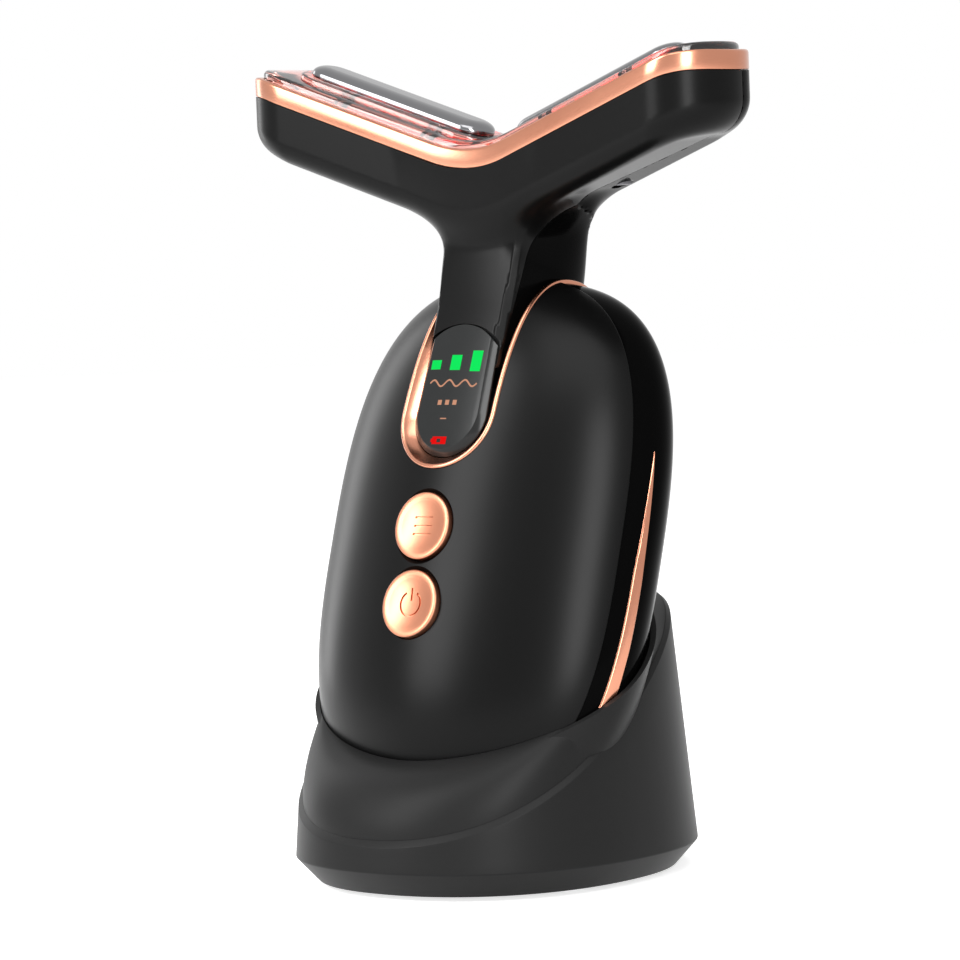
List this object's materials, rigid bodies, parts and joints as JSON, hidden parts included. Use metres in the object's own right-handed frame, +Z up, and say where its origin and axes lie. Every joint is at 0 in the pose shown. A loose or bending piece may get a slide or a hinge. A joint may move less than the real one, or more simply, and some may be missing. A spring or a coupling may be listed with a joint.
{
  "type": "facial toning device",
  "caption": "Handheld facial toning device with a V-shaped two-arm head, metal electrode bars and a display, standing in its charging dock.",
  "frame": {"origin": "on the table under the middle of the dock", "axes": "+Z up, front of the device towards -Y, left and right arms along X"},
  "size_m": [0.1, 0.0674, 0.1363],
  "materials": {
    "satin_black": "satin",
    "gloss_black": "gloss",
    "rose_gold": "polished",
    "rose_gold_cap": "satin",
    "smoked_window": "gloss",
    "display": "matte",
    "clear_window": "gloss",
    "polished_steel": "polished",
    "black_moulding": "matte",
    "white_board": "matte",
    "red_diode": "gloss",
    "switch_steel": "satin",
    "green_board": "satin",
    "cell_foil": "satin",
    "motor_steel": "satin",
    "tungsten": "matte",
    "gold_contact": "polished",
    "screw_steel": "satin",
    "grey_plug": "satin",
    "dock_black": "satin",
    "dock_base_black": "matte",
    "weight_steel": "matte",
    "socket_steel": "satin",
    "rubber_foot": "matte"
  },
  "bodies": {
    "dock": {"dock_shell": "dock_black", "dock_cup": "dock_black", "dock_base": "dock_base_black", "dock_weight": "weight_steel", "dock_board": "green_board", "pin_block": "black_moulding", "charging_socket": "socket_steel", "dock_screws": "screw_steel", "dock_feet": "rubber_foot"},
    "handset": {"front_shell": "satin_black", "rear_shell": "gloss_black", "head_front_cover": "satin_black", "head_rear_cover": "gloss_black", "neck_trim_loop": "rose_gold", "display_window": "smoked_window", "display_module": "display", "head_trim_band": "rose_gold", "light_window": "clear_window", "electrode_left": "polished_steel", "electrode_right": "polished_steel", "light_tray": "black_moulding", "light_board_left": "white_board", "light_board_right": "white_board", "light_diodes": "red_diode", "side_strip_left": "rose_gold", "side_strip_right": "rose_gold", "push_switches": "switch_steel", "main_board": "green_board", "inner_frame": "black_moulding", "battery_cell": "cell_foil", "motor_case": "motor_steel", "handset_contacts": "gold_contact", "frame_screws": "screw_steel", "head_screw_plugs": "grey_plug"},
    "mode_key": {"mode_button": "rose_gold_cap", "mode_plunger": "black_moulding"},
    "power_key": {"power_button": "rose_gold_cap", "power_plunger": "black_moulding"},
    "rotor": {"motor_rotor": "tungsten"},
    "pin_left": {"contact_pin_left": "gold_contact"},
    "pin_right": {"contact_pin_right": "gold_contact"}
  },
  "joints": [
    {"name": "handset_lift", "type": "slide", "parent": "dock", "child": "handset", "axis": [0, 0.3007, 0.9537], "range_m": [0, 0.08]},
    {"name": "mode_press", "type": "slide", "parent": "handset", "child": "mode_key", "axis": [0, 0.9537, -0.3007], "range_m": [0, 0.0006], "stiffness_N_per_m": 800},
    {"name": "power_press", "type": "slide", "parent": "handset", "child": "power_key", "axis": [0, 0.9537, -0.3007], "range_m": [0, 0.0006], "stiffness_N_per_m": 800},
    {"name": "motor_spin", "type": "hinge", "parent": "handset", "child": "rotor", "pos_m": [0, -0.00668, 0.01989], "axis": [1, 0, 0], "continuous": true},
    {"name": "pin_left_press", "type": "slide", "parent": "dock", "child": "pin_left", "axis": [0, -0.3007, -0.9537], "range_m": [0, 0.0012], "stiffness_N_per_m": 150},
    {"name": "pin_right_press", "type": "slide", "parent": "dock", "child": "pin_right", "axis": [0, -0.3007, -0.9537], "range_m": [0, 0.0012], "stiffness_N_per_m": 150}
  ]
}
